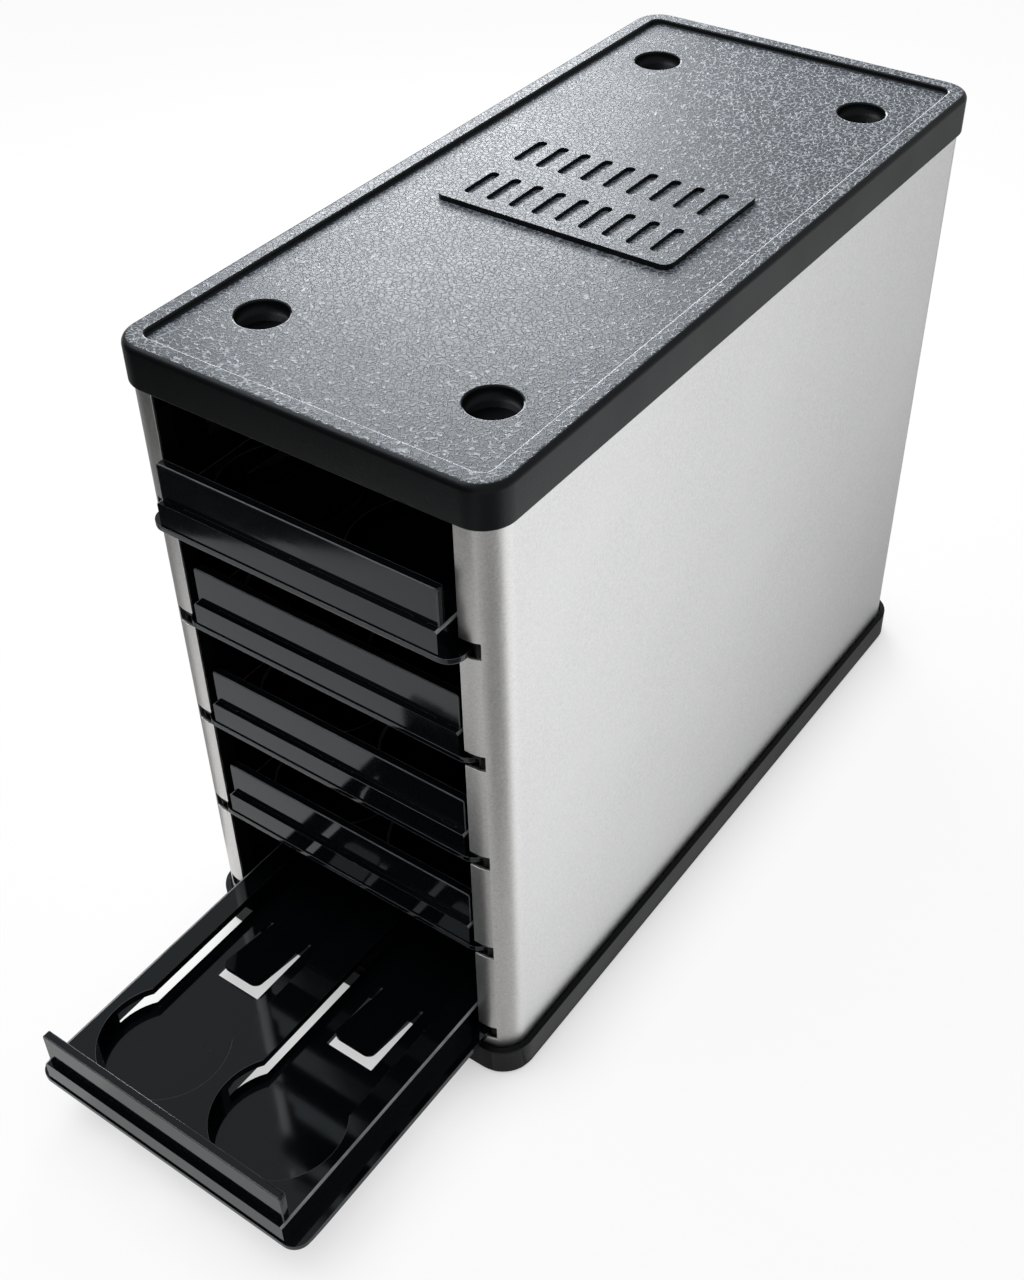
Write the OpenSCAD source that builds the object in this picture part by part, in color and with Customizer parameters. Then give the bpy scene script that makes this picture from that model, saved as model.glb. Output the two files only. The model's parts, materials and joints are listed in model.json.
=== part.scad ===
// Coffee pod drawer: a stackable sheet metal cabinet with five pull-out trays.
// Origin: centre of the foot frame on the ground. +X right along the fronts, +Y to the back, +Z up.
// Every tray and front is drawn where it rests, shut or pulled out by its own amount.

/* [Cabinet] */
// Height over all
case_height = 211; // [207:1:230]
// Outside width of the bent sheet
sheet_width = 112.5; // [112:0.5:114]
// Outside depth of the bent sheet
sheet_depth = 244.5; // [244:0.5:250]
// Thickness of the sheet
sheet_thick = 0.8; // [0.6:0.1:1.0]
// Outside radius of the sheet's four bends
bend_radius = 8.5; // [7:0.5:9]
// Width of each front flange, from the side to its cut edge
flange_width = 10.65; // [10:0.05:10.9]
// Height of the notches in the flanges
notch_height = 5; // [4.6:0.1:6]

/* [Top cap] */
// Height of the cap's side
cap_height = 12; // [10:0.5:14]
// How far the cap stands out past the sheet
cap_overhang = 1; // [0.6:0.1:2]
// Corner radius of the cap
cap_corner = 9; // [6:0.5:10]
// Width of the raised rim round the top
cap_rim = 5.8; // [4:0.1:8]
// Depth of the sunk field inside the rim
cap_sink = 1.7; // [1:0.1:2.5]
// Thickness of the cap's top plate
cap_plate = 3; // [2:0.1:4]

/* [Stacking sockets] */
// Diameter of a stacking socket
socket_diameter = 14; // [12:0.5:16]
// Depth of a socket in the cap
socket_depth = 6; // [5:0.5:6]
// Distance between the sockets across the cabinet
socket_spacing_x = 70; // [66:1:72]
// Distance between the sockets from front to back
socket_spacing_y = 184; // [180:1:190]

/* [Foot frame] */
// Height of the foot frame's side
base_height = 10; // [9.5:0.5:10.5]
// How far the foot frame stands out past the sheet
base_ledge = 2.3; // [2:0.1:4]
// Corner radius of the foot frame
base_corner = 10.5; // [9:0.5:12]
// How far the rubber feet stand below the foot frame
foot_proud = 0.6; // [0.5:0.1:1.2]

/* [Trays] */
// Distance from one tray to the next
pitch = 36.85; // [36.6:0.05:37.2]
// Height of the lowest tray's lip above the ground
first_lip = 13.8; // [13.6:0.1:14.2]
// Width over the lips of a tray
lip_span = 97.6; // [96.6:0.1:98]
// Width over the side walls of a tray
hat_width = 88; // [87:0.1:88.4]
// Height of the tray's deck above the underside of its lips
deck_height = 9.2; // [8.5:0.1:10]
// Height of the top of the front plate above the underside of the lips
front_height = 20.5; // [18:0.5:22]
// Thickness of the front plate
front_thick = 2.5; // [2:0.1:2.5]
// How far each tray is pulled out, from the lowest to the top one
pulled_out = [83, 0, 0, 0, 5.6]; // [0:0.1:150]

/* [Pod channels] */
// Distance of each channel from the middle of the tray
channel_x = 21.5; // [21:0.1:22]
// Radius of the round mouth that takes the pod's rim
mouth_radius = 19.2; // [19:0.1:19.3]
// Half width of the straight channel in the deck
channel_half = 15.6; // [15:0.1:16]
// Half width of the strip of floor under the channel
floor_half = 15.4; // [14:0.1:15.6]
// Top of the floor above the underside of the lips
floor_top = 2.6; // [2.4:0.1:3]
// Pods in one row
pods_in_row = 6; // [6:1:6]
// Distance from one pod to the next in a row
pod_pitch = 37.5; // [37:0.1:37.6]

/* [Hidden] */
$fn = 64;

cap_colour = [0.20, 0.21, 0.22];
sheet_colour = [0.74, 0.74, 0.73];
guide_colour = [0.08, 0.08, 0.09];
tray_colour = [0.12, 0.12, 0.13];
front_colour = [0.16, 0.16, 0.17];
screw_colour = [0.35, 0.35, 0.36];
rubber_colour = [0.05, 0.05, 0.05];

front_y = -sheet_depth / 2;
cap_bottom = case_height - cap_height;
field_z = case_height - cap_sink;
socket_x = socket_spacing_x / 2;
socket_y = socket_spacing_y / 2;
inner_width = sheet_width - 2 * sheet_thick;
inner_depth = sheet_depth - 2 * sheet_thick;
inner_radius = bend_radius - sheet_thick;
floor_plate_top = base_height - 1;
sheet_bottom = base_height - 2.3;
flange_edge = sheet_width / 2 - flange_width;
notch_end = flange_edge + 5.8;

// Radii of the bosses and screw holes that several parts share
socket_boss = 9.5;
screw_boss = 4;
screw_hole = 1.5;

// Cap
plug_play = 0.25;
plug_wall = 3.25;
plug_corner = 4.6;
plug_depth = 6;
cap_rib_step = 46;
cap_rib_reach = 53;
cap_rib_half = 0.9;

// Plain plate on the cap
badge_width = 74;
badge_depth = 47;
badge_high = 1.6;
badge_y = 3.6;
badge_slot_step = 7.4;
badge_slot_row = 11.6;
badge_slot_width = 3;
badge_slot_length = 14;

// Foot frame
base_wall = 3.2;
floor_plate = 3;
floor_inset = 1.5;
groove_outside = 0.7;
groove_inside = 0.3;
cross_rib_step = 60;
cross_rib_reach = 57;
long_rib_x = 14;
long_rib_reach = 122;
base_rib_half = 1;
foot_x = 44;
foot_y = 112;
foot_radius = 6;
foot_seat = 1.7;

// Guides
rail_inner = flange_edge + 0.6;
web_inner = lip_span / 2 + 2.5;
groove_play = 0.35;
rail_thick = 2;
guide_fit = 0.15;
guide_top = cap_bottom - plug_depth - 0.3;
guide_bottom = base_height + 0.2;
tab_reach = 32;
tab_thick = 3.1;
tab_width = 14;
screw_x = 38;
screw_y = socket_y - 12;
head_high = 1.6;
head_radius = 3;
head_seat = 3.1;
shank_radius = 1.45;
window_front = -116;
window_step = 72;
window_half = 29;

// Trays
wall = 1;
deck_thick = 2.6;
floor_thick = 1.6;
lip_thick = 2;
lip_corner = 5;
lip_front = front_y - 0.55;
band_front = front_y - 0.15;
tray_back = 112;
travel = 150;
stop_length = 8;
stop_reach = 2;
mouth_y = band_front + 24.4;
last_pod_y = mouth_y + (pods_in_row - 1) * pod_pitch;
rib_half = 1.1;
front_plate_y = band_front + 1.5;
leg_x = [3.4, 38.2];
leg_half = 2.2;
leg_thick = 1.4;
leg_bottom = 2.2;
tie_y = [-10, 40, 88];
tie_half = 2.5;
tongue_half = 6.8;
tongue_tip_y = mouth_y + 30.4;
tongue_root_y = mouth_y + 53;
tongue_lift = 4;
slot_half = 8.2;
slot_front_y = tongue_tip_y - 1.5;

function lip_z(n) = first_lip + (5 - n) * pitch;
function open_by(n) = pulled_out[5 - n];

// Rounded rectangle in plan
module plan(w, d, r) {
  square([w - 2 * r, d], center = true);
  square([w, d - 2 * r], center = true);
  for (sx = [-1, 1], sy = [-1, 1])
    translate([sx * (w / 2 - r), sy * (d / 2 - r)])
      circle(r);
}

// A slab of that plan between two heights
module slab(w, d, r, z0, z1) {
  translate([0, 0, z0])
    linear_extrude(z1 - z0)
      plan(w, d, r);
}

// A box given by its lowest and highest corners
module block(lo, hi) {
  translate(lo)
    cube([hi[0] - lo[0], hi[1] - lo[1], hi[2] - lo[2]]);
}

// An upright round bar between two heights
module post(x, y, r, z0, z1) {
  translate([x, y, z0])
    cylinder(r = r, h = z1 - z0);
}

module at_sockets() {
  for (sx = [-1, 1], sy = [-1, 1])
    translate([sx * socket_x, sy * socket_y, 0])
      children();
}

module at_screws() {
  for (sx = [-1, 1], sy = [-1, 1])
    translate([sx * screw_x, sy * screw_y, 0])
      children();
}

module at_feet() {
  for (sx = [-1, 1], sy = [-1, 1])
    translate([sx * foot_x, sy * foot_y, 0])
      children();
}

// ---------- top cap ----------
module cap_body() {
  slab(sheet_width + 2 * cap_overhang, sheet_depth + 2 * cap_overhang, cap_corner, cap_bottom, case_height);
}

module cap_plug() {
  difference() {
    slab(inner_width - 2 * plug_play, inner_depth - 2 * plug_play, inner_radius - plug_play,
         cap_bottom - plug_depth, cap_bottom + 1);
    slab(inner_width - 2 * plug_wall, inner_depth - 2 * plug_wall, plug_corner,
         cap_bottom - plug_depth - 1, cap_bottom + 2);
    // gaps for the guides' screw tabs and for the top tray's pods
    for (sy = [-1, 1])
      block([-60, sy * screw_y - tab_width / 2 - 1, cap_bottom - plug_depth - 1],
            [60, sy * screw_y + tab_width / 2 + 1, cap_bottom]);
    block([-rail_inner, front_y - 1, cap_bottom - plug_depth - 1], [rail_inner, front_y + 12, cap_bottom]);
  }
}

module top_cap() {
  color(cap_colour)
  difference() {
    union() {
      difference() {
        cap_body();
        slab(sheet_width + 2 * cap_overhang - 2 * cap_rim, sheet_depth + 2 * cap_overhang - 2 * cap_rim, 3,
             field_z, case_height + 1);
        slab(inner_width - 2 * plug_wall, inner_depth - 2 * plug_wall, plug_corner,
             cap_bottom - 1, field_z - cap_plate);
      }
      cap_plug();
      at_sockets() post(0, 0, socket_boss, cap_bottom, field_z - 0.5);
      at_screws() post(0, 0, screw_boss, cap_bottom, field_z - 0.5);
      for (y = [-cap_rib_step, 0, cap_rib_step])
        block([-cap_rib_reach, y - cap_rib_half, cap_bottom], [cap_rib_reach, y + cap_rib_half, field_z - 1]);
    }
    at_sockets() post(0, 0, socket_diameter / 2, field_z - socket_depth, case_height + 1);
    at_screws() post(0, 0, screw_hole, cap_bottom - 1, field_z - 2.5);
  }
}

// A plain raised plate with two rows of plain slots
module top_badge() {
  color(cap_colour)
  translate([0, badge_y, 0])
  difference() {
    slab(badge_width, badge_depth, 3, field_z, field_z + badge_high);
    for (i = [-4 : 4], row = [-1, 1])
      translate([i * badge_slot_step, row * badge_slot_row, 0])
        slab(badge_slot_width, badge_slot_length, 1.4, field_z + 0.4, field_z + badge_high + 0.4);
  }
}

// ---------- body shell ----------
module body_shell() {
  color(sheet_colour)
  difference() {
    slab(sheet_width, sheet_depth, bend_radius, sheet_bottom, cap_bottom);
    slab(inner_width, inner_depth, inner_radius, sheet_bottom - 1, cap_bottom + 1);
    block([-flange_edge, front_y - 1, sheet_bottom - 1], [flange_edge, front_y + 5, cap_bottom + 1]);
    for (n = [1 : 5], s = [-1, 1])
      translate([s * (flange_edge + notch_end) / 2, front_y, lip_z(n) - 0.6 + notch_height / 2])
        cube([notch_end - flange_edge + 0.02, 8, notch_height], center = true);
  }
}

// ---------- foot frame ----------
module base_plinth() {
  base_w = sheet_width + 2 * base_ledge;
  base_d = sheet_depth + 2 * base_ledge;
  boss_top = floor_plate_top - floor_plate + 0.5;
  color(cap_colour)
  difference() {
    union() {
      difference() {
        slab(base_w, base_d, base_corner, foot_proud, base_height);
        slab(base_w - 2 * base_wall, base_d - 2 * base_wall, base_corner - base_wall,
             foot_proud - 1, floor_plate_top - floor_plate);
        slab(inner_width - 2 * floor_inset, inner_depth - 2 * floor_inset, inner_radius - floor_inset,
             floor_plate_top, base_height + 1);
        difference() {
          slab(sheet_width + 2 * groove_outside, sheet_depth + 2 * groove_outside,
               bend_radius + groove_outside, sheet_bottom - 0.2, base_height + 1);
          slab(inner_width - 2 * groove_inside, inner_depth - 2 * groove_inside,
               inner_radius - groove_inside, sheet_bottom - 1, base_height + 2);
        }
      }
      at_sockets() post(0, 0, socket_boss, foot_proud, boss_top);
      at_screws() post(0, 0, screw_boss, foot_proud, boss_top);
      at_feet() post(0, 0, foot_radius + 2, foot_proud, boss_top);
      for (y = [-cross_rib_step, 0, cross_rib_step])
        block([-cross_rib_reach, y - base_rib_half, foot_proud + 1],
              [cross_rib_reach, y + base_rib_half, boss_top]);
      for (x = [-long_rib_x, long_rib_x])
        block([x - base_rib_half, -long_rib_reach, foot_proud + 1],
              [x + base_rib_half, long_rib_reach, boss_top]);
    }
    at_sockets() post(0, 0, socket_diameter / 2, foot_proud - 1, foot_proud + 5);
    at_screws() post(0, 0, screw_hole, foot_proud + 1.4, base_height + 1);
    at_feet() post(0, 0, foot_radius + 0.1, foot_proud - 1, foot_proud + foot_seat);
  }
}

// Rubber pad in its round seat
module foot(sx, sy) {
  color(rubber_colour)
  post(sx * foot_x, sy * foot_y, foot_radius, 0, foot_proud + foot_seat);
}

// ---------- guides ----------
module guide_groove(n) {
  z = lip_z(n);
  // narrow front part, wide back part, and the closed end is left solid
  block([rail_inner - 1, front_y - 1, z - groove_play],
        [lip_span / 2 + 0.4, tray_back + 0.4, z + lip_thick + groove_play]);
  block([rail_inner - 1, tray_back - travel - stop_length - 0.4, z - groove_play],
        [web_inner, tray_back + 0.4, z + lip_thick + groove_play]);
}

module guide_windows() {
  // between two trays' rails, open the inside down to the web
  for (n = [1 : 5]) {
    z0 = lip_z(n) + lip_thick + groove_play + rail_thick;
    z1 = (n == 1 ? guide_top + 20 : lip_z(n - 1) - groove_play - rail_thick);
    block([rail_inner - 1, window_front, z0], [web_inner, 200, z1]);
    for (k = [-1 : 1])
      block([rail_inner - 1, k * window_step - window_half, z0 + 3],
            [60, k * window_step + window_half, (n == 1 ? guide_top - 4 : z1 - 3)]);
  }
}

module guide_tabs() {
  for (sy = [-1, 1]) {
    block([tab_reach, sy * screw_y - tab_width / 2, cap_bottom - tab_thick],
          [web_inner + 1, sy * screw_y + tab_width / 2, cap_bottom]);
    block([web_inner - 1.5, sy * screw_y - tab_width / 2, guide_top - 4],
          [inner_width / 2 - 0.4, sy * screw_y + tab_width / 2, cap_bottom]);
    block([tab_reach, sy * screw_y - tab_width / 2, floor_plate_top],
          [web_inner + 1, sy * screw_y + tab_width / 2, floor_plate_top + tab_thick]);
  }
}

module guide() {
  color(guide_colour)
  difference() {
    union() {
      difference() {
        intersection() {
          slab(inner_width - 2 * guide_fit, inner_depth - 2 * guide_fit, inner_radius - guide_fit,
               guide_bottom, guide_top);
          block([rail_inner, -130, 0], [60, 130, case_height]);
        }
        for (n = [1 : 5])
          guide_groove(n);
        guide_windows();
      }
      guide_tabs();
    }
    // screw holes with a seat for the head
    for (sy = [-1, 1]) {
      post(screw_x, sy * screw_y, screw_hole, 0, case_height);
      post(screw_x, sy * screw_y, head_seat, cap_bottom - tab_thick - 1, cap_bottom - tab_thick + head_high);
      post(screw_x, sy * screw_y, head_seat, floor_plate_top + tab_thick - head_high,
           floor_plate_top + tab_thick + 1);
    }
  }
}

module guide_left() { mirror([1, 0, 0]) guide(); }
module guide_right() { guide(); }

// ---------- trays ----------
// Keyhole outline: round mouth at the front, straight run to the last pod
module keyhole(half, back_y) {
  translate([channel_x, mouth_y])
    circle(mouth_radius);
  translate([channel_x - half, mouth_y])
    square([2 * half, back_y - mouth_y]);
}

module side_half() {
  // lip, side wall, half of the deck, floor strip and tongue of the right half
  difference() {
    union() {
      // lip with a round front corner
      linear_extrude(lip_thick)
        difference() {
          union() {
            translate([0, lip_front])
              square([lip_span / 2 - lip_corner, 12]);
            translate([lip_span / 2 - lip_corner, lip_front + lip_corner])
              circle(lip_corner);
            translate([hat_width / 2 - wall, lip_front + lip_corner])
              square([lip_span / 2 - hat_width / 2 + wall, tray_back - lip_front - lip_corner]);
            translate([hat_width / 2, tray_back - stop_length])
              square([lip_span / 2 - hat_width / 2 + stop_reach, stop_length]);
          }
          translate([-1, front_plate_y])
            square([hat_width / 2 - wall + 1, 400]);
        }
      // side wall, front band and back wall
      block([hat_width / 2 - wall, band_front, 0], [hat_width / 2, tray_back, deck_height]);
      block([0, band_front, 0], [hat_width / 2, band_front + 2, deck_height]);
      block([0, tray_back - 1.6, 0], [hat_width / 2, tray_back, deck_height]);
      // deck with its keyhole
      translate([0, 0, deck_height - deck_thick])
        linear_extrude(deck_thick)
          difference() {
            translate([0, band_front + 1])
              square([hat_width / 2 - 0.5, tray_back - band_front - 1.5]);
            keyhole(channel_half, last_pod_y);
            translate([channel_x, last_pod_y])
              circle(channel_half);
          }
      // floor strip, tied to the front mouth and to the back
      translate([0, 0, floor_top - floor_thick])
        linear_extrude(floor_thick)
          difference() {
            union() {
              keyhole(floor_half, last_pod_y + 6);
              translate([0, last_pod_y + 6])
                square([hat_width / 2 - wall / 2, tray_back - last_pod_y - 7]);
            }
            translate([channel_x - slot_half, slot_front_y])
              square([2 * slot_half, tongue_root_y - slot_front_y]);
          }
      // half round wall that joins the floor to the deck round the mouth
      translate([0, 0, floor_top - floor_thick])
        linear_extrude(deck_height - 1 - floor_top + floor_thick)
          difference() {
            translate([channel_x, mouth_y])
              circle(mouth_radius + 1.2);
            translate([channel_x, mouth_y])
              circle(mouth_radius);
            translate([-10, mouth_y])
              square([80, 60]);
          }
      // middle rib and cross ties
      block([0, band_front + 1, 0], [rib_half, tray_back - 1, deck_height - 1]);
      for (y = tie_y)
        block([0, y - tie_half, 0], [hat_width / 2 - wall / 2, y + tie_half, floor_top - floor_thick + 0.4]);
      tongue();
    }
    // slots for the legs of the front plate
    front_legs(0.1);
  }
}

// Spring tongue, cut free on three sides and raised at its tip
module tongue() {
  z0 = floor_top - floor_thick;
  length = tongue_root_y - tongue_tip_y;
  intersection() {
    translate([channel_x - tongue_half - 1, 0, 0])
      rotate([90, 0, 90])
        linear_extrude(2 * tongue_half + 2)
          polygon([
            [tongue_root_y + 1, z0],
            [tongue_root_y + 1, floor_top],
            [tongue_root_y, floor_top],
            [tongue_tip_y, floor_top + tongue_lift],
            [tongue_tip_y, z0 + tongue_lift],
            [tongue_root_y, z0]
          ]);
    translate([channel_x, tongue_tip_y + length / 2 + 1, 0])
      slab(2 * tongue_half, length + 2, 2.4, 0, 20);
  }
}

module tray(n) {
  color(tray_colour)
  translate([0, -open_by(n), lip_z(n)]) {
    side_half();
    mirror([1, 0, 0]) side_half();
  }
}

// Two legs on each side of the middle that reach down through the deck
module front_legs(gap) {
  for (x = leg_x)
    block([x - leg_half - gap, front_plate_y - gap, leg_bottom - gap],
          [x + leg_half + gap, front_plate_y + leg_thick + gap, deck_height + 1]);
}

// Upright front plate, a little narrower than the walls and with round upper corners
module front_plate(n) {
  half = hat_width / 2 - 0.4;
  upper = front_height - deck_height;
  round_corner = 0.8;
  color(front_colour)
  translate([0, -open_by(n), lip_z(n)]) {
    translate([0, front_plate_y + front_thick, deck_height])
      rotate([90, 0, 0])
        linear_extrude(front_thick) {
          translate([-half, 0])
            square([2 * half, upper - round_corner]);
          translate([-half + round_corner, 0])
            square([2 * half - 2 * round_corner, upper]);
          for (x = [-half + round_corner, half - round_corner])
            translate([x, upper - round_corner])
              circle(round_corner);
        }
    for (m = [0, 1])
      mirror([m, 0, 0]) front_legs(0);
  }
}

// ---------- screws ----------
// Low head screw with a cross recess, drawn head up with the top of its head at zero
module screw(length) {
  difference() {
    union() {
      translate([0, 0, -head_high])
        cylinder(r = head_radius, h = head_high);
      translate([0, 0, -length])
        cylinder(r = shank_radius, h = length - head_high + 0.5);
    }
    for (a = [0, 90])
      rotate([0, 0, a])
        translate([-1.6, -0.4, -0.9])
          cube([3.2, 0.8, 2]);
  }
}

// From inside, up through a guide's upper tab into the cap
module cap_screw(sx, sy) {
  color(screw_colour)
  translate([sx * screw_x, sy * screw_y, cap_bottom - tab_thick])
    mirror([0, 0, 1])
      screw(tab_thick + 6);
}

// From inside, down through a guide's lower tab into the foot frame
module base_screw(sx, sy) {
  color(screw_colour)
  translate([sx * screw_x, sy * screw_y, floor_plate_top + tab_thick])
    screw(tab_thick + floor_plate_top - foot_proud - 2);
}

top_cap();
top_badge();
body_shell();
base_plinth();
guide_left();
guide_right();
tray(1);  // drawer_tray_1
tray(2);  // drawer_tray_2
tray(3);  // drawer_tray_3
tray(4);  // drawer_tray_4
tray(5);  // drawer_tray_5
front_plate(1);  // drawer_front_1
front_plate(2);  // drawer_front_2
front_plate(3);  // drawer_front_3
front_plate(4);  // drawer_front_4
front_plate(5);  // drawer_front_5
cap_screw(-1, -1);  // cap_screw_1
cap_screw(1, -1);  // cap_screw_2
cap_screw(-1, 1);  // cap_screw_3
cap_screw(1, 1);  // cap_screw_4
base_screw(-1, -1);  // base_screw_1
base_screw(1, -1);  // base_screw_2
base_screw(-1, 1);  // base_screw_3
base_screw(1, 1);  // base_screw_4
foot(-1, -1);  // foot_1
foot(1, -1);  // foot_2
foot(-1, 1);  // foot_3
foot(1, 1);  // foot_4
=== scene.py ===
"""Looks of the coffee pod drawer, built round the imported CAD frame."""
import json
import math
from collections import namedtuple

import bmesh
import bpy
from mathutils import Matrix, Vector


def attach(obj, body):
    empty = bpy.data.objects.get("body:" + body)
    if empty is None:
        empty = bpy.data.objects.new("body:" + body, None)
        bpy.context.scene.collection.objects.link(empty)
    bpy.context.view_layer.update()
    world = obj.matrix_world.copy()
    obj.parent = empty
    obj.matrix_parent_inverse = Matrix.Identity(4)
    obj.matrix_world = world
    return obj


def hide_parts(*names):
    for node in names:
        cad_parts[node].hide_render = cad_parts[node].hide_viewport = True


MM = 0.001
TO_MM = 1000
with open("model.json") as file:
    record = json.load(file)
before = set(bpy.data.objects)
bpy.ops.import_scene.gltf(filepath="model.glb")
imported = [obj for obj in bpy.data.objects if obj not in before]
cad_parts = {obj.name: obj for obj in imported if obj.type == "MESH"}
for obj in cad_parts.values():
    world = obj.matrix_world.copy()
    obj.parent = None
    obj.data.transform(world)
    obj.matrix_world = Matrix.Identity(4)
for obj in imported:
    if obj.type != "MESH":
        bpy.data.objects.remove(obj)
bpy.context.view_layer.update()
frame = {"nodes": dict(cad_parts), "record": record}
NODES = frame["nodes"]
BODY_OF = {n: b for b, ns in frame["record"]["behaviour"]["bodies"].items() for n in ns}
SLOT_OF = {s["node"]: s["material_slot"] for s in frame["record"]["subparts"]}

# ---------- camera ----------
CAM_AT = Vector((226.461, -346.636, 418.381)) * MM
CAM_RIGHT = Vector((0.814356, 0.580060, -0.018823))
CAM_UP = Vector((-0.372353, 0.547081, 0.749703))
CAM_BACK = Vector((0.445171, -0.603517, 0.661506))
LENS_MM = 46.88
SENSOR_MM = 36


def add_camera():
    data = bpy.data.cameras.new("camera")
    data.lens = LENS_MM
    data.sensor_width = SENSOR_MM
    data.clip_start = 0.01
    data.clip_end = 20
    cam = bpy.data.objects.new("camera", data)
    bpy.context.scene.collection.objects.link(cam)
    turn = Matrix((CAM_RIGHT, CAM_UP, CAM_BACK)).transposed()
    cam.matrix_world = Matrix.Translation(CAM_AT) @ turn.to_4x4()
    bpy.context.scene.camera = cam


# ---------- materials ----------
UP = (0, 0, 1)
FORWARD = (0, -1, 0)
BACK_LEFT = (-0.7, 0.7, 0)

# Tint of what black plastic mirrors
COOL = (0.86, 0.94, 1.0, 1.0)

# Just under the cap's sunk field, so that the floors of its sockets have no grain and keep the black of the
# sides, without the painted sheen of the top
CAP_GRAIN_AND_SHEEN_FROM_MM = 208.8


class Tree:
    """A material and short calls that add and link its nodes."""

    def __init__(self, name):
        self.mat = bpy.data.materials.new(name)
        self.mat.use_nodes = True
        self.tree = self.mat.node_tree
        self.shader = self.tree.nodes["Principled BSDF"]
        self.co = self.add("ShaderNodeTexCoord").outputs["Object"]

    def add(self, kind, **values):
        node = self.tree.nodes.new(kind)
        for key, value in values.items():
            if hasattr(node, key):
                setattr(node, key, value)
            else:
                node.inputs[key.replace("_", " ")].default_value = value
        return node

    def link(self, a, b):
        self.tree.links.new(a, b)

    def noise(self, scale, detail=2.0, rough=0.5, distortion=0.0):
        n = self.add("ShaderNodeTexNoise", Scale=scale, Detail=detail, Roughness=rough, Distortion=distortion)
        self.link(self.co, n.inputs["Vector"])
        return n.outputs["Fac"]

    def cells(self, scale):
        """Distance from the winding borders of the cells of a leather-like grain."""
        bend = 1.5 / scale
        warp = self.add("ShaderNodeTexNoise", Scale=0.8 * scale, Detail=1.0)
        self.link(self.co, warp.inputs["Vector"])
        bent = self.add("ShaderNodeVectorMath", operation="MULTIPLY_ADD")
        self.link(warp.outputs["Color"], bent.inputs[0])
        bent.inputs[1].default_value = (bend, bend, bend)
        self.link(self.co, bent.inputs[2])
        n = self.add("ShaderNodeTexVoronoi", feature="DISTANCE_TO_EDGE", Scale=scale)
        self.link(bent.outputs[0], n.inputs["Vector"])
        return n.outputs["Distance"]

    def ramp(self, fac, low, high, to_low=0.0, to_high=1.0):
        """fac from low..high to to_low..to_high, clamped."""
        n = self.add("ShaderNodeMapRange", From_Min=low, From_Max=high, To_Min=to_low, To_Max=to_high)
        self.link(fac, n.inputs["Value"])
        return n.outputs["Result"]

    def mix(self, fac, a, b):
        """fac mixes a to b, each of them a colour or the output of a node."""
        n = self.add("ShaderNodeMix", data_type="RGBA")
        self.link(fac, n.inputs[0])
        for value, socket in ((a, n.inputs[6]), (b, n.inputs[7])):
            if isinstance(value, bpy.types.NodeSocket):
                self.link(value, socket)
            else:
                socket.default_value = (*value, 1)
        return n.outputs[2]

    def faces(self, way, low, high):
        """0 where the object's surface faces way (a vector) less than low, 1 where it does more than high."""
        share = self.add("ShaderNodeVectorMath", operation="DOT_PRODUCT")
        self.link(self.add("ShaderNodeTexCoord").outputs["Normal"], share.inputs[0])
        share.inputs[1].default_value = way
        return self.ramp(share.outputs["Value"], low, high)

    def above(self, height):
        """0 where the object's surface is lower than height in mm, 1 where it is higher."""
        half_step = 0.1
        split = self.add("ShaderNodeSeparateXYZ")
        self.link(self.co, split.inputs[0])
        return self.ramp(split.outputs["Z"], (height - half_step) * MM, (height + half_step) * MM)

    def product(self, a, b):
        n = self.add("ShaderNodeMath", operation="MULTIPLY")
        self.link(a, n.inputs[0])
        self.link(b, n.inputs[1])
        return n.outputs[0]

    def edge_highlight(self):
        """The share of painted edge highlight, from 0 to 1, that dress() gave to the roundings."""
        return self.add("ShaderNodeAttribute", attribute_name="edge_highlight").outputs["Fac"]

    def bump(self, height, strength, distance):
        """Normals of a relief whose height is distance in mm."""
        n = self.add("ShaderNodeBump", Strength=strength, Distance=distance * MM)
        self.link(height, n.inputs["Height"])
        return n.outputs["Normal"]

    def set(self, **values):
        for key, value in values.items():
            self.shader.inputs[key.replace("_", " ")].default_value = value

    def wire(self, **links):
        for key, value in links.items():
            self.link(value, self.shader.inputs[key.replace("_", " ")])


def grained_plastic(name, side, dark, light, pale, grain, strength, rough, level, least_height=None):
    """Moulded plastic with smooth sides and a grain on what faces up and is above least_height in mm.

    The grain's ridges are light and the rest of it is dark, so that what faces up is lighter than the black
    sides: partly the grain's own tone and partly painted sheen. Rounded edges that face up and to the back
    left, towards the back_left lamp, are pale: a painted highlight.
    """
    relief_of_sides = 0.06
    t = Tree(name)
    ridge = t.ramp(t.cells(grain), 0.02, 0.15, to_low=1, to_high=0)
    flat = t.faces(UP, 0.93, 0.985)
    if least_height:
        flat = t.product(flat, t.above(least_height))
    # What faces up above least_height takes the grain's colours, lighter than the black sides: partly painted
    # sheen
    skin = t.mix(flat, side, t.mix(ridge, dark, light))
    # Pale on rounded edges that face up and to the back left, towards the back_left lamp: painted highlight
    highlit = t.product(t.faces(BACK_LEFT, 0.04, 0.12), t.faces(UP, 0.1, 0.3))
    patches = t.noise(38, detail=3.0)
    t.wire(
        Base_Color=t.mix(t.product(t.edge_highlight(), highlit), skin, pale),
        Roughness=t.ramp(patches, 0.3, 0.7, rough - 0.03, rough + 0.04),
        Normal=t.bump(t.product(ridge, t.ramp(flat, 0, 1, to_low=relief_of_sides)), strength, 0.16),
    )
    t.set(IOR=1.5, Specular_IOR_Level=level, Specular_Tint=COOL)
    return t.mat


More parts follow.
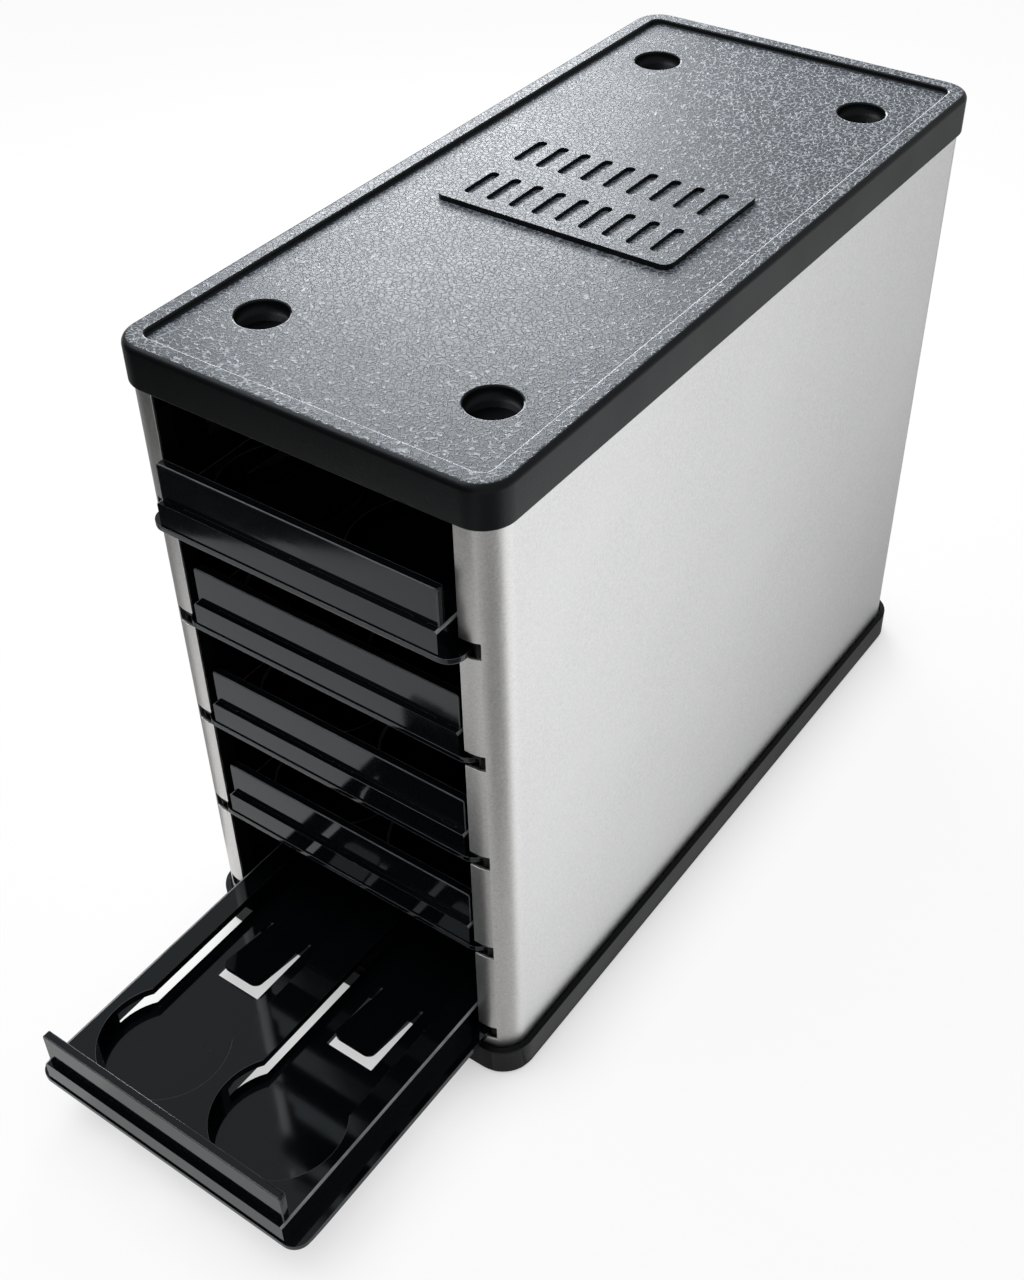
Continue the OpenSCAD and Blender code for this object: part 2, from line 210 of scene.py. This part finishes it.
def satin_sheet(name):
    """Satin steel with a fine grain and soft clouds, tinted a little warmer where it faces forward, on the
    front flanges: a painted reflection. Its rounded cut edges are near white: a painted highlight.
    """
    side_dark = (0.62, 0.63, 0.625)
    side_light = (0.67, 0.68, 0.675)
    # The warmer tint of what faces forward, the flanges, is a painted reflection
    flange_dark = (0.62, 0.60, 0.58)
    flange_light = (0.70, 0.68, 0.66)
    speckle = (0.75, 0.755, 0.75)
    # Near white along the sheet's rounded cut edges: painted highlight
    cut_edge_highlight = (0.95, 0.95, 0.94)
    t = Tree(name)
    fine = t.noise(1500, detail=3.0, rough=0.6, distortion=0.8)
    cloud = t.noise(24, detail=3.0)
    side = t.mix(t.ramp(cloud, 0.3, 0.7), side_dark, side_light)
    flange = t.mix(t.ramp(cloud, 0.3, 0.7), flange_dark, flange_light)
    colour = t.mix(t.faces(FORWARD, 0.1, 0.6), side, flange)
    speckled = t.mix(t.ramp(fine, 0.35, 0.65), colour, speckle)
    t.wire(
        Base_Color=t.mix(t.edge_highlight(), speckled, cut_edge_highlight),
        Roughness=t.ramp(fine, 0.3, 0.7, 0.36, 0.44),
        Normal=t.bump(fine, 0.2, 0.05),
    )
    t.set(Metallic=1.0)
    return t.mat


def gloss_black(name, colour, rough):
    """Polished black plastic with faint dust and rub marks, and a painted highlight in grey along its rounded
    edges.
    """
    dust = (0.06, 0.06, 0.065)
    # Grey along the rounded edges, broken up by the rub marks: painted highlight
    edge = (0.34, 0.35, 0.36)
    t = Tree(name)
    specks = t.ramp(t.noise(1500, detail=1.0), 0.80, 0.84)
    rub = t.noise(60, detail=4.0, rough=0.6, distortion=0.8)
    highlit = t.product(t.edge_highlight(), t.ramp(rub, 0.3, 0.6, to_low=0.4))
    t.wire(
        Base_Color=t.mix(highlit, t.mix(specks, colour, dust), edge),
        Roughness=t.ramp(rub, 0.35, 0.75, rough, rough + 0.04),
        Normal=t.bump(t.noise(70, detail=1.0), 0.03, 0.1),
    )
    t.set(IOR=1.5, Specular_IOR_Level=0.42, Specular_Tint=COOL)
    return t.mat


def toned(colour, factor):
    return [c * factor for c in colour]


def plain_dark(name, colour, rough, metallic=0.0, grain=900, level=0.5):
    """A dark surface with a fine even grain: plastic, rubber or blackened steel."""
    t = Tree(name)
    n = t.noise(grain)
    t.wire(
        Base_Color=t.mix(n, toned(colour, 0.8), toned(colour, 1.2)),
        Roughness=t.ramp(n, 0.3, 0.7, rough - 0.05, rough + 0.05),
        Normal=t.bump(n, 0.12, 0.1),
    )
    t.set(Metallic=metallic, Specular_IOR_Level=level)
    return t.mat


MATERIALS = {
    "cap_plastic": grained_plastic(
        "cap_plastic", side=(0.004, 0.0045, 0.005), dark=(0.065, 0.073, 0.085), light=(0.32, 0.35, 0.39),
        pale=(0.62, 0.64, 0.67), grain=630, strength=1.0, rough=0.36, level=0.2,
        least_height=CAP_GRAIN_AND_SHEEN_FROM_MM),
    "base_plastic": grained_plastic(
        "base_plastic", side=(0.004, 0.0045, 0.0045), dark=(0.006, 0.006, 0.0065), light=(0.01, 0.01, 0.01),
        pale=(0.03, 0.03, 0.03), grain=1000, strength=0.30, rough=0.34, level=0.1),
    "sheet_metal": satin_sheet("sheet_metal"),
    "guide_plastic": plain_dark("guide_plastic", (0.003, 0.003, 0.0035), 0.4, level=0.2),
    "tray_plastic": gloss_black("tray_plastic", (0.002, 0.003, 0.004), 0.045),
    "front_plastic": gloss_black("front_plastic", (0.003, 0.004, 0.005), 0.05),
    "screw_steel": plain_dark("screw_steel", (0.05, 0.05, 0.05), 0.35, metallic=0.8, grain=2000),
    "foot_rubber": plain_dark("foot_rubber", (0.015, 0.015, 0.015), 0.75),
}

# ---------- pieces ----------
WELD_MM = 0.002
FLAT_DEG = 0.6
SHARP_DEG = 38

# A rounding of the sharp edges whose middle, as x, y and z in mm, passes test. The radius is in mm, and
# the last number, from 0 to 1, is the share of painted highlight that the material gives the rounding.
Rounding = namedtuple("Rounding", "test radius steps wear")


def sharp_edges(bm):
    least = math.radians(SHARP_DEG)
    return [e for e in bm.edges if len(e.link_faces) == 2 and e.calc_face_angle(0) > least]


def middle_in_mm(edge):
    return (edge.verts[0].co + edge.verts[1].co) / 2 * TO_MM


def dress(node, name, rounds):
    """A copy of a CAD node's form with its edges rounded, one Rounding after another."""
    src = NODES[node]
    bm = bmesh.new()
    bm.from_mesh(src.data)
    # Each face's share of painted edge highlight, which the materials read
    edge_highlight = bm.faces.layers.float.new("edge_highlight")
    bmesh.ops.remove_doubles(bm, verts=bm.verts, dist=WELD_MM * MM)
    bmesh.ops.dissolve_limit(
        bm, angle_limit=math.radians(FLAT_DEG), verts=bm.verts, edges=bm.edges, delimit=set()
    )
    bmesh.ops.recalc_face_normals(bm, faces=bm.faces)
    for test, radius, steps, wear in rounds:
        edges = [e for e in sharp_edges(bm) if test(*middle_in_mm(e))]
        if edges:
            made = bmesh.ops.bevel(
                bm, geom=edges, offset=radius * MM, offset_type="OFFSET", segments=steps,
                profile=0.5, affect="EDGES", clamp_overlap=True, miter_outer="ARC",
            )
            for face in made["faces"]:
                face[edge_highlight] = wear
    mesh = bpy.data.meshes.new(name)
    bm.to_mesh(mesh)
    bm.free()
    obj = bpy.data.objects.new(name, mesh)
    bpy.context.scene.collection.objects.link(obj)
    mesh.materials.append(MATERIALS[SLOT_OF[node]])
    mesh.shade_smooth()
    obj.modifiers.new("even_normals", "WEIGHTED_NORMAL").weight = 80
    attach(obj, BODY_OF[node])
    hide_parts(node)
    return obj


def box_of(node):
    """Lowest and highest corner of a CAD node in mm."""
    corners = [NODES[node].matrix_world @ Vector(c) * TO_MM for c in NODES[node].bound_box]
    return [Vector(f(c[k] for c in corners) for k in range(3)) for f in (min, max)]


def all_edges(radius, steps, wear):
    return [Rounding(lambda x, y, z: True, radius, steps, wear)]


def moulding_rounds():
    """The cap: a full round outside, narrow ones inside the rim, on the sockets and underneath."""
    hi = box_of("top_cap")[1]
    cap_bottom = box_of("body_shell")[1].z
    side_width = 4.6
    rim_depth = 2.1
    near = 0.1

    def outside(x, y):
        return abs(x) > hi.x - side_width or abs(y) > hi.y - side_width

    def top_outside(x, y, z):
        return z > hi.z - near and outside(x, y)

    def bottom_outside(x, y, z):
        return abs(z - cap_bottom) < near and outside(x, y)

    def rim_and_sockets(x, y, z):
        return z > hi.z - rim_depth and not outside(x, y)

    return [
        Rounding(top_outside, radius=1.9, steps=5, wear=0),
        Rounding(bottom_outside, radius=0.5, steps=2, wear=1),
        Rounding(rim_and_sockets, radius=0.6, steps=4, wear=1),
    ]


def foot_frame_rounds():
    lo, hi = box_of("base_plinth")
    side_width = 0.4
    top_near = 0.2
    bottom_near = 0.4

    def outside(x, y):
        return abs(x) > hi.x - side_width or abs(y) > hi.y - side_width

    def top(x, y, z):
        return z > hi.z - top_near

    def top_outside(x, y, z):
        return top(x, y, z) and outside(x, y)

    def bottom_outside(x, y, z):
        return z < lo.z + bottom_near and outside(x, y)

    return [
        Rounding(top_outside, radius=0.6, steps=3, wear=1),
        Rounding(bottom_outside, radius=0.6, steps=3, wear=1),
        Rounding(top, radius=0.25, steps=2, wear=1),
    ]


def tray_rounds(node):
    """Lips nearly full round outside, a softer edge along the walls' tops, crisp edges elsewhere."""
    lo, hi = box_of(node)
    lip_top = lo.z + 2
    lip_corner = 5.1
    side_near = 0.3
    front_near = 0.2
    near = 0.05
    wall_side = 43.9
    mouth_x = 21.5
    mouth_y = lo.y + 24.8
    mouth_reach = 19.6

    def at_side(x):
        return abs(x) > hi.x - side_near

    def on_top(z):
        return z > hi.z - near

    def lip_outside(x, y, z):
        corner = abs(x) > hi.x - lip_corner and y < lo.y + lip_corner
        return abs(z - lip_top) < near and (at_side(x) or y < lo.y + front_near or corner)

    def mouth(x, y, z):
        return on_top(z) and math.hypot(abs(x) - mouth_x, y - mouth_y) < mouth_reach

    def lip_underside(x, y, z):
        return z < lo.z + near and (at_side(x) or y < lo.y + lip_corner)

    def wall_top(x, y, z):
        return on_top(z) and abs(x) > wall_side

    def deck_top(x, y, z):
        return on_top(z)

    return [
        Rounding(lip_outside, radius=0.9, steps=4, wear=0.5),
        Rounding(mouth, radius=0.7, steps=4, wear=0.25),
        Rounding(lip_underside, radius=0.6, steps=3, wear=0.25),
        Rounding(wall_top, radius=0.6, steps=3, wear=1),
        Rounding(deck_top, radius=0.4, steps=3, wear=0.25),
        *all_edges(radius=0.25, steps=2, wear=0.25),
    ]


# ---------- stage ----------
FLOOR_GREY = 0.86
FLOOR_SINK = 0.2 * MM

# How far from the object the floor's white fades by ambient occlusion, painted shade that deepens its shadow,
# and the share of its white that is left right under it
NEAR_FLOOR = 24 * MM
NEAR_WHITE = 0.3

# The glowing card glow_right, painted light of a lit floor that only mirrored rays meet, brightens along
# GLOW_WAY, between the distances and the strengths in GLOW_STRENGTH
GLOW_WAY = (5.2, -1.9, 0)
GLOW_STRENGTH = {"From Min": 0.07, "From Max": 0.92, "To Min": 0.4, "To Max": 1.25}


def add_light(name, at, aim, size, power):
    data = bpy.data.lights.new(name, "AREA")
    data.shape = "RECTANGLE"
    data.size, data.size_y = size
    data.energy = power
    obj = bpy.data.objects.new(name, data)
    obj.location = at
    obj.rotation_euler = (Vector(aim) - Vector(at)).to_track_quat("-Z", "Y").to_euler()
    bpy.context.scene.collection.objects.link(obj)


def seen_share(tree, straight, mirrored):
    """straight for camera rays, mirrored for glossy and transmission rays, 0 for all others."""
    path = tree.nodes.new("ShaderNodeLightPath")
    share = None
    parts = {"Is Camera Ray": straight, "Is Glossy Ray": mirrored, "Is Transmission Ray": mirrored}
    for ray, part in parts.items():
        scale = tree.nodes.new("ShaderNodeMath")
        scale.operation = "MULTIPLY"
        scale.inputs[1].default_value = part
        tree.links.new(path.outputs[ray], scale.inputs[0])
        if share is None:
            share = scale.outputs[0]
            continue
        most = tree.nodes.new("ShaderNodeMath")
        most.operation = "MAXIMUM"
        tree.links.new(share, most.inputs[0])
        tree.links.new(scale.outputs[0], most.inputs[1])
        share = most.outputs[0]
    return share


def mix_shaders(tree, share, lit, seen, out):
    mix = tree.nodes.new("ShaderNodeMixShader")
    tree.links.new(share, mix.inputs[0])
    tree.links.new(lit, mix.inputs[1])
    tree.links.new(seen, mix.inputs[2])
    tree.links.new(mix.outputs[0], out)


def add_floor():
    """White where it is seen, with the object's shadow on it; close under the object its white fades by
    ambient occlusion, painted shade that deepens the shadow there.
    """
    bm = bmesh.new()
    bmesh.ops.create_grid(bm, x_segments=4, y_segments=4, size=4)
    mesh = bpy.data.meshes.new("floor")
    bm.to_mesh(mesh)
    bm.free()
    floor = bpy.data.objects.new("floor", mesh)
    floor.location = (0, 0, -FLOOR_SINK)
    bpy.context.scene.collection.objects.link(floor)
    mat = bpy.data.materials.new("floor_white")
    mat.use_nodes = True
    tree = mat.node_tree
    shader = tree.nodes["Principled BSDF"]
    shader.inputs["Base Color"].default_value = (FLOOR_GREY, FLOOR_GREY, FLOOR_GREY, 1)
    shader.inputs["Roughness"].default_value = 0.9
    white = tree.nodes.new("ShaderNodeEmission")
    # Ambient occlusion fades the white close under the object: painted shade on top of the real shadow
    near = tree.nodes.new("ShaderNodeAmbientOcclusion")
    near.inputs["Distance"].default_value = NEAR_FLOOR
    lifted = tree.nodes.new("ShaderNodeMapRange")
    lifted.inputs["To Min"].default_value = NEAR_WHITE
    tree.links.new(near.outputs["AO"], lifted.inputs["Value"])
    share = tree.nodes.new("ShaderNodeMath")
    share.operation = "MULTIPLY"
    tree.links.new(lifted.outputs["Result"], share.inputs[0])
    tree.links.new(seen_share(tree, straight=0.92, mirrored=0.35), share.inputs[1])
    mix_shaders(tree, share.outputs[0], shader.outputs[0], white.outputs[0],
                tree.nodes["Material Output"].inputs["Surface"])
    mesh.materials.append(mat)


def add_world():
    world = bpy.data.worlds.new("world")
    bpy.context.scene.world = world
    world.use_nodes = True
    tree = world.node_tree
    light = tree.nodes["Background"]
    light.inputs["Color"].default_value = (1, 1, 1, 1)
    light.inputs["Strength"].default_value = 0.40
    pale = tree.nodes.new("ShaderNodeBackground")
    pale.inputs["Color"].default_value = (1, 1, 1, 1)
    pale.inputs["Strength"].default_value = 1.0
    mix_shaders(tree, seen_share(tree, straight=1.0, mirrored=0.2), light.outputs[0], pale.outputs[0],
                tree.nodes["World Output"].inputs["Surface"])


def add_card(name, corners):
    """A card that only mirrored rays meet, with a bare material. Its corners are in mm."""
    bm = bmesh.new()
    bm.faces.new([bm.verts.new(Vector(c) * MM) for c in corners])
    mesh = bpy.data.meshes.new(name)
    bm.to_mesh(mesh)
    bm.free()
    card = bpy.data.objects.new(name, mesh)
    bpy.context.scene.collection.objects.link(card)
    mat = bpy.data.materials.new(name + "_paper")
    mat.use_nodes = True
    mesh.materials.append(mat)
    card.visible_camera = False
    card.visible_diffuse = False
    card.visible_shadow = False
    return mat.node_tree


def level(height, *points):
    """Corners of a card that lies flat at a height above the ground."""
    return [(x, y, height) for x, y in points]


def upright(start, end, height):
    """Corners of a card that stands on the ground from start to end."""
    return [(*start, 0), (*end, 0), (*end, height), (*start, height)]


def add_shade_card(name, corners, grey=0.01):
    """A grey card that only mirrored rays meet: painted shade for the shaded parts of the room and floor that
    metal and gloss show.
    """
    shader = add_card(name, corners).nodes["Principled BSDF"]
    shader.inputs["Base Color"].default_value = (grey, grey, grey, 1)
    shader.inputs["Roughness"].default_value = 1


def add_glow(name, corners):
    """A glowing card that only mirrored rays meet: painted light of a lit floor, fading towards the object
    and to the back.
    """
    tree = add_card(name, corners)
    along = tree.nodes.new("ShaderNodeVectorMath")
    along.operation = "DOT_PRODUCT"
    along.inputs[1].default_value = GLOW_WAY
    tree.links.new(tree.nodes.new("ShaderNodeTexCoord").outputs["Object"], along.inputs[0])
    fade = tree.nodes.new("ShaderNodeMapRange")
    for key, value in GLOW_STRENGTH.items():
        fade.inputs[key].default_value = value
    tree.links.new(along.outputs["Value"], fade.inputs["Value"])
    glow = tree.nodes.new("ShaderNodeEmission")
    tree.links.new(fade.outputs["Result"], glow.inputs["Strength"])
    tree.links.new(glow.outputs[0], tree.nodes["Material Output"].inputs["Surface"])


def add_stage():
    """Two soft lamps, whose places are in metres, and the cards round the object."""
    add_floor()
    add_world()
    add_light("overhead", at=(-0.60, -0.25, 1.2), aim=(0, 0, 0.1), size=(0.7, 0.7), power=6)
    add_light("back_left", at=(-0.34, 0.36, 0.45), aim=(-0.02, 0.04, 0.20), size=(0.25, 0.25), power=3.0)
    # Grey cards that only mirrored rays meet: painted shade
    add_shade_card("shade_card_left", upright((-500, -150), (100, -390), 340))
    add_shade_card("shade_card_right", level(1, (100, -190), (160, -480), (560, -330), (260, -90)), grey=0.3)
    add_shade_card("shade_card_corner", level(1, (58, -127), (58, -230), (100, -190), (260, -90), (80, -114)), grey=0.8)
    add_shade_card("shade_card_floor_left",
             level(1, (-80, -127), (-80, 0), (-540, 60), (-500, -150), (-320, -285)), grey=0.25)
    # A glowing card that only mirrored rays meet: painted light
    add_glow("glow_right", level(0.5, (59, -116), (700, -116), (700, 700), (59, 700)))


dress("top_cap", "cap_moulding", moulding_rounds())
dress("top_badge", "cap_plate", all_edges(radius=0.25, steps=2, wear=1))
dress("body_shell", "bent_sheet", all_edges(radius=0.15, steps=2, wear=1))
dress("base_plinth", "foot_frame", foot_frame_rounds())
for side in ("left", "right"):
    dress(f"guide_{side}", f"guide_frame_{side}", [])
for i in range(1, 6):
    dress(f"drawer_tray_{i}", f"tray_{i}", tray_rounds(f"drawer_tray_{i}"))
    dress(f"drawer_front_{i}", f"front_{i}", all_edges(radius=0.3, steps=2, wear=0.25))
for kind in ("cap", "base"):
    for i in range(1, 5):
        dress(f"{kind}_screw_{i}", f"{kind}_screw_piece_{i}", all_edges(radius=0.15, steps=1, wear=0))
for i in range(1, 5):
    dress(f"foot_{i}", f"foot_pad_{i}", all_edges(radius=0.3, steps=2, wear=0.25))

add_camera()
add_stage()
bpy.context.scene.view_settings.view_transform = "Standard"
